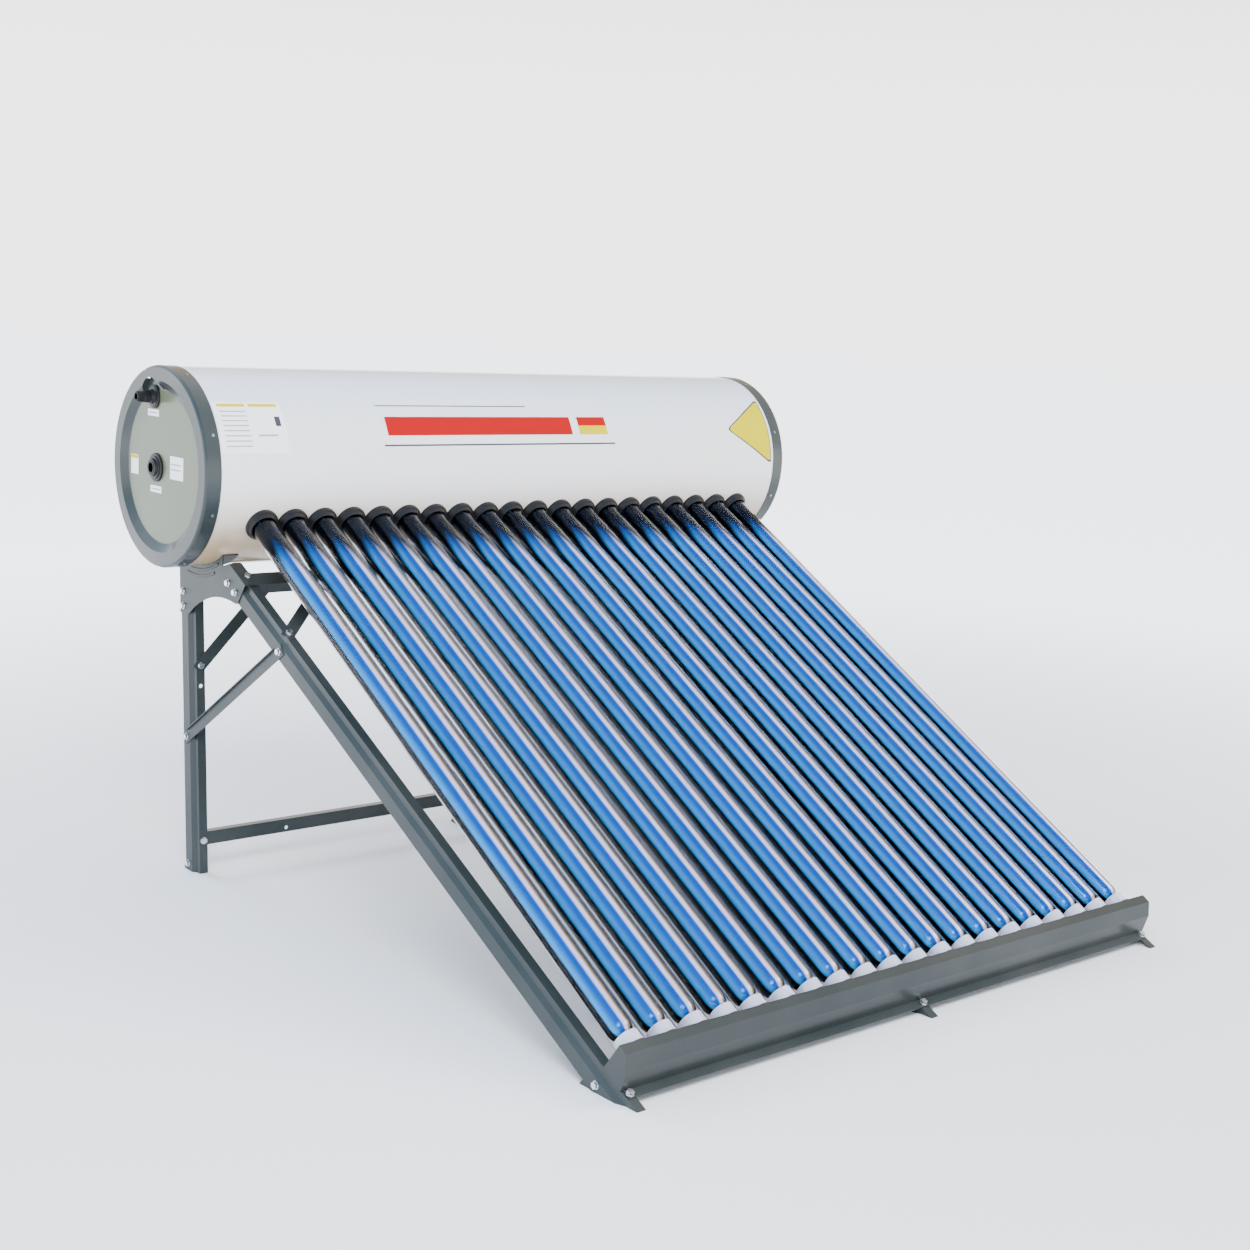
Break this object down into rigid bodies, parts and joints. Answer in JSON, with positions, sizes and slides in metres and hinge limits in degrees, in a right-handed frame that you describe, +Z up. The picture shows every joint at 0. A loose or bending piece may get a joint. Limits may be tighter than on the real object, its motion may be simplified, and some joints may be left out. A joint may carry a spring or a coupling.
{
  "type": "solar water heater",
  "caption": "Rooftop solar water heater: a horizontal insulated tank fed by a row of sloping evacuated glass tubes on an angle-section stand.",
  "frame": {"origin": "middle of the bounding box on the ground plane under the feet", "axes": "+X runs along the tank away from its connections, -Y is the way the tubes slope down, +Z is up"},
  "size_m": [1.879, 1.917, 1.247],
  "materials": {
    "white_skin": "glossy white powder coat",
    "foam": "rigid polyurethane foam",
    "inner_steel": "plain stainless sheet",
    "cap_paint": "semi-gloss grey paint",
    "stub_steel": "plain stainless pipe",
    "black_rubber": "matt black moulded rubber",
    "silicone": "matt moulded silicone",
    "coated_glass": "clear outer glass over a dark blue absorber coating",
    "channel_paint": "satin dark slate paint",
    "cup_plastic": "matt black moulded plastic",
    "stand_paint": "satin slate grey paint",
    "zinc": "bright zinc plating",
    "screw_steel": "plain zinc plating"
  },
  "bodies": {
    "heater": {"bottom_rail": "stand_paint", "cap_screws": "screw_steel", "dust_seals": "black_rubber", "end_cap_left": "cap_paint", "end_cap_right": "cap_paint", "foot_bolts": "zinc", "frame_bolts": "zinc", "front_feet": "stand_paint", "front_knee_brace_left": "stand_paint", "front_knee_brace_right": "stand_paint", "front_leg_left": "stand_paint", "front_leg_middle": "stand_paint", "front_leg_right": "stand_paint", "inlet_grommet": "black_rubber", "inlet_port": "stub_steel", "inner_seals": "silicone", "inner_tank": "inner_steel", "outlet_grommet": "black_rubber", "outlet_pipe": "stub_steel", "rear_feet": "stand_paint", "rear_knee_brace_left": "stand_paint", "rear_knee_brace_right": "stand_paint", "rear_leg_left": "stand_paint", "rear_leg_middle": "stand_paint", "rear_leg_right": "stand_paint", "rear_rail_lower": "stand_paint", "rear_rail_upper": "stand_paint", "saddle_bolts": "zinc", "side_brace_left": "stand_paint", "side_brace_right": "stand_paint", "tail_channel": "channel_paint", "tail_cups": "cup_plastic", "tail_end_plate_left": "channel_paint", "tail_end_plate_right": "channel_paint", "tank_insulation": "foam", "tank_saddle_left": "stand_paint", "tank_saddle_middle": "stand_paint", "tank_saddle_right": "stand_paint", "tank_shell": "white_skin", "top_rail": "stand_paint"},
    "tube_01": {"evacuated_tube_01": "coated_glass"},
    "tube_02": {"evacuated_tube_02": "coated_glass"},
    "tube_03": {"evacuated_tube_03": "coated_glass"},
    "tube_04": {"evacuated_tube_04": "coated_glass"},
    "tube_05": {"evacuated_tube_05": "coated_glass"},
    "tube_06": {"evacuated_tube_06": "coated_glass"},
    "tube_07": {"evacuated_tube_07": "coated_glass"},
    "tube_08": {"evacuated_tube_08": "coated_glass"},
    "tube_09": {"evacuated_tube_09": "coated_glass"},
    "tube_10": {"evacuated_tube_10": "coated_glass"},
    "tube_11": {"evacuated_tube_11": "coated_glass"},
    "tube_12": {"evacuated_tube_12": "coated_glass"},
    "tube_13": {"evacuated_tube_13": "coated_glass"},
    "tube_14": {"evacuated_tube_14": "coated_glass"},
    "tube_15": {"evacuated_tube_15": "coated_glass"},
    "tube_16": {"evacuated_tube_16": "coated_glass"},
    "tube_17": {"evacuated_tube_17": "coated_glass"},
    "tube_18": {"evacuated_tube_18": "coated_glass"},
    "tube_19": {"evacuated_tube_19": "coated_glass"},
    "tube_20": {"evacuated_tube_20": "coated_glass"}
  },
  "joints": [
    {"name": "tube_01_lift", "type": "slide", "parent": "heater", "child": "tube_01", "axis": [0, 0.866, 0.5], "range_m": [0, 0.045]},
    {"name": "tube_02_lift", "type": "slide", "parent": "heater", "child": "tube_02", "axis": [0, 0.866, 0.5], "range_m": [0, 0.045]},
    {"name": "tube_03_lift", "type": "slide", "parent": "heater", "child": "tube_03", "axis": [0, 0.866, 0.5], "range_m": [0, 0.045]},
    {"name": "tube_04_lift", "type": "slide", "parent": "heater", "child": "tube_04", "axis": [0, 0.866, 0.5], "range_m": [0, 0.045]},
    {"name": "tube_05_lift", "type": "slide", "parent": "heater", "child": "tube_05", "axis": [0, 0.866, 0.5], "range_m": [0, 0.045]},
    {"name": "tube_06_lift", "type": "slide", "parent": "heater", "child": "tube_06", "axis": [0, 0.866, 0.5], "range_m": [0, 0.045]},
    {"name": "tube_07_lift", "type": "slide", "parent": "heater", "child": "tube_07", "axis": [0, 0.866, 0.5], "range_m": [0, 0.045]},
    {"name": "tube_08_lift", "type": "slide", "parent": "heater", "child": "tube_08", "axis": [0, 0.866, 0.5], "range_m": [0, 0.045]},
    {"name": "tube_09_lift", "type": "slide", "parent": "heater", "child": "tube_09", "axis": [0, 0.866, 0.5], "range_m": [0, 0.045]},
    {"name": "tube_10_lift", "type": "slide", "parent": "heater", "child": "tube_10", "axis": [0, 0.866, 0.5], "range_m": [0, 0.045]},
    {"name": "tube_11_lift", "type": "slide", "parent": "heater", "child": "tube_11", "axis": [0, 0.866, 0.5], "range_m": [0, 0.045]},
    {"name": "tube_12_lift", "type": "slide", "parent": "heater", "child": "tube_12", "axis": [0, 0.866, 0.5], "range_m": [0, 0.045]},
    {"name": "tube_13_lift", "type": "slide", "parent": "heater", "child": "tube_13", "axis": [0, 0.866, 0.5], "range_m": [0, 0.045]},
    {"name": "tube_14_lift", "type": "slide", "parent": "heater", "child": "tube_14", "axis": [0, 0.866, 0.5], "range_m": [0, 0.045]},
    {"name": "tube_15_lift", "type": "slide", "parent": "heater", "child": "tube_15", "axis": [0, 0.866, 0.5], "range_m": [0, 0.045]},
    {"name": "tube_16_lift", "type": "slide", "parent": "heater", "child": "tube_16", "axis": [0, 0.866, 0.5], "range_m": [0, 0.045]},
    {"name": "tube_17_lift", "type": "slide", "parent": "heater", "child": "tube_17", "axis": [0, 0.866, 0.5], "range_m": [0, 0.045]},
    {"name": "tube_18_lift", "type": "slide", "parent": "heater", "child": "tube_18", "axis": [0, 0.866, 0.5], "range_m": [0, 0.045]},
    {"name": "tube_19_lift", "type": "slide", "parent": "heater", "child": "tube_19", "axis": [0, 0.866, 0.5], "range_m": [0, 0.045]},
    {"name": "tube_20_lift", "type": "slide", "parent": "heater", "child": "tube_20", "axis": [0, 0.866, 0.5], "range_m": [0, 0.045]}
  ]
}
